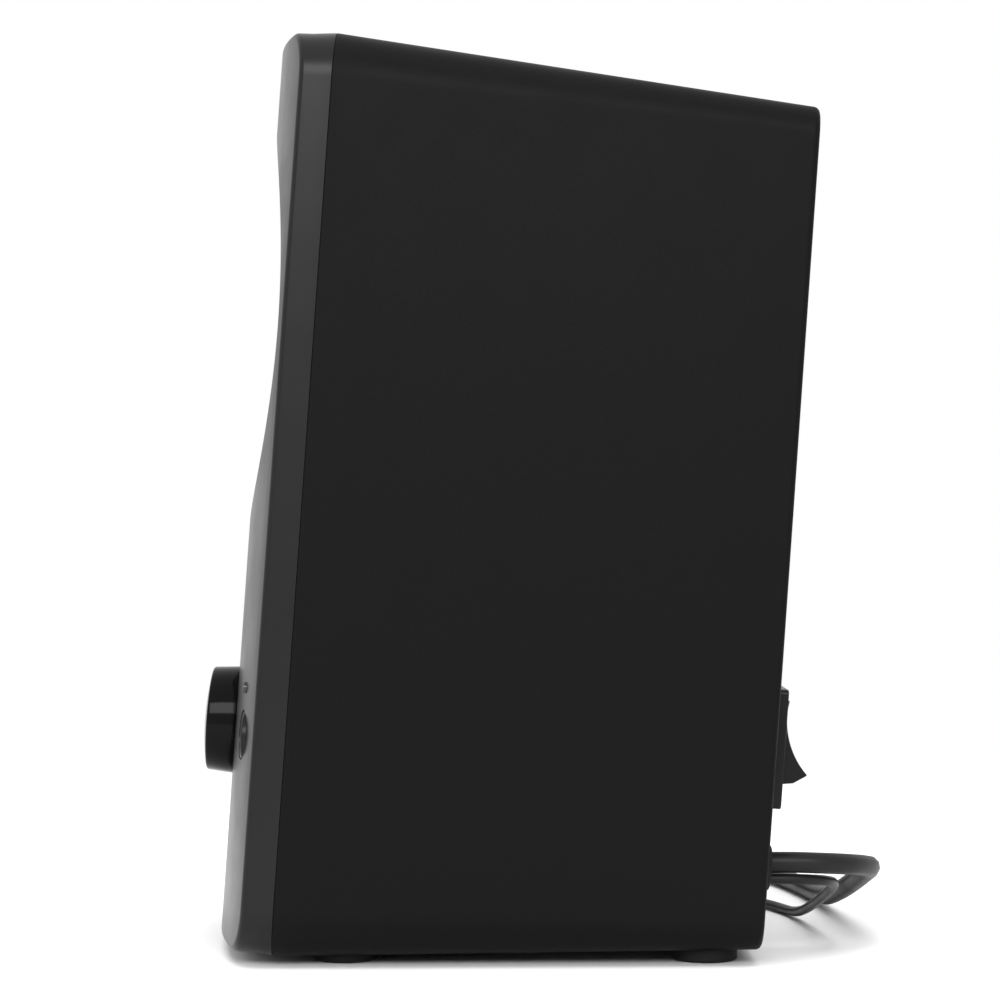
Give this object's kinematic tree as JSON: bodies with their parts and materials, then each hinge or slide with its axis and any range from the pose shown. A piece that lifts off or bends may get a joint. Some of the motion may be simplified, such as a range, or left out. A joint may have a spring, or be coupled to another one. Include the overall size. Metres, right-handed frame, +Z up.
{
  "type": "desktop loudspeaker",
  "caption": "Leaning powered desktop loudspeaker cabinet with a round driver, volume knob, headphone socket, rear rocker switch and coiled mains and signal leads.",
  "frame": {"origin": "middle of the cabinet's footprint on the surface that it stands on, the leads left out", "axes": "+Z up, -Y out of the front, +X towards the side with the headphone socket and the power switch"},
  "size_m": [0.1886, 0.1348, 0.1705],
  "materials": {
    "shell_plastic": "fine moulded grain",
    "baffle_plastic": "semi-gloss",
    "knob_plastic": "gloss",
    "pointer_paint": "satin",
    "foot_rubber": "matte",
    "surround_rubber": "satin",
    "cone_paper": "pressed paper",
    "spider_cloth": "woven",
    "foam": "matte",
    "steel": "plated",
    "dark_steel": "black",
    "ferrite": "ground",
    "copper": "enamelled wire",
    "brass": "plated",
    "aluminium": "extruded",
    "board": "solder mask",
    "part_plastic": "satin",
    "can_sleeve": "gloss",
    "connector_plastic": "satin",
    "lens": "clear",
    "tape": "satin tape",
    "switch_plastic": "semi-gloss",
    "lead_jacket": "satin vinyl",
    "wire_jacket": "satin vinyl"
  },
  "bodies": {
    "cabinet": {"rear_shell": "shell_plastic", "front_baffle": "baffle_plastic", "housing_screws": "steel", "rubber_feet": "foot_rubber", "driver_trim_ring": "baffle_plastic", "driver_gasket": "foam", "driver_basket": "dark_steel", "driver_surround": "surround_rubber", "driver_spider": "spider_cloth", "driver_top_plate": "steel", "driver_magnet": "ferrite", "driver_back_plate": "steel", "driver_terminals": "brass", "driver_screws": "dark_steel", "amplifier_board": "board", "board_screws": "steel", "electrolytic_capacitors": "can_sleeve", "amplifier_ic": "part_plastic", "heatsink": "aluminium", "board_connectors": "connector_plastic", "volume_potentiometer": "steel", "potentiometer_nut": "steel", "headphone_jack": "part_plastic", "headphone_jack_collar": "steel", "power_led": "part_plastic", "led_lens": "lens", "transformer_core": "steel", "transformer_winding": "tape", "transformer_bracket": "steel", "transformer_screws": "steel", "switch_frame": "switch_plastic", "switch_terminals": "brass", "cable_grommet": "lead_jacket", "mains_inner_wire": "lead_jacket", "transformer_wires": "wire_jacket", "speaker_wires": "wire_jacket", "mains_lead": "lead_jacket", "mains_lead_coil": "lead_jacket", "mains_lead_tie": "lead_jacket", "mains_plug": "part_plastic", "mains_plug_pins": "brass", "signal_lead": "lead_jacket", "signal_lead_coil": "lead_jacket", "signal_lead_tie": "lead_jacket", "signal_plug": "part_plastic", "signal_plug_contacts": "brass"},
    "knob": {"volume_knob": "knob_plastic", "knob_pointer": "pointer_paint", "potentiometer_shaft": "aluminium"},
    "rocker": {"switch_rocker": "switch_plastic"},
    "cone": {"driver_cone": "cone_paper", "driver_dust_cap": "cone_paper", "driver_voice_coil": "copper"}
  },
  "joints": [
    {"name": "volume_turn", "type": "hinge", "parent": "cabinet", "child": "knob", "pos_m": [0, -0.05128, 0.04204], "axis": [0, -0.9976, 0.0698], "range_deg": [-150, 150]},
    {"name": "power_rocker", "type": "hinge", "parent": "cabinet", "child": "rocker", "pos_m": [0.0255, 0.04726, 0.03916], "axis": [-1, 0, 0], "range_deg": [0, 34]},
    {"name": "cone_travel", "type": "slide", "parent": "cabinet", "child": "cone", "axis": [0, -0.9976, 0.0698], "range_m": [-0.001, 0.001], "stiffness_N_per_m": 600, "deforming": ["driver_surround", "driver_spider"]}
  ]
}
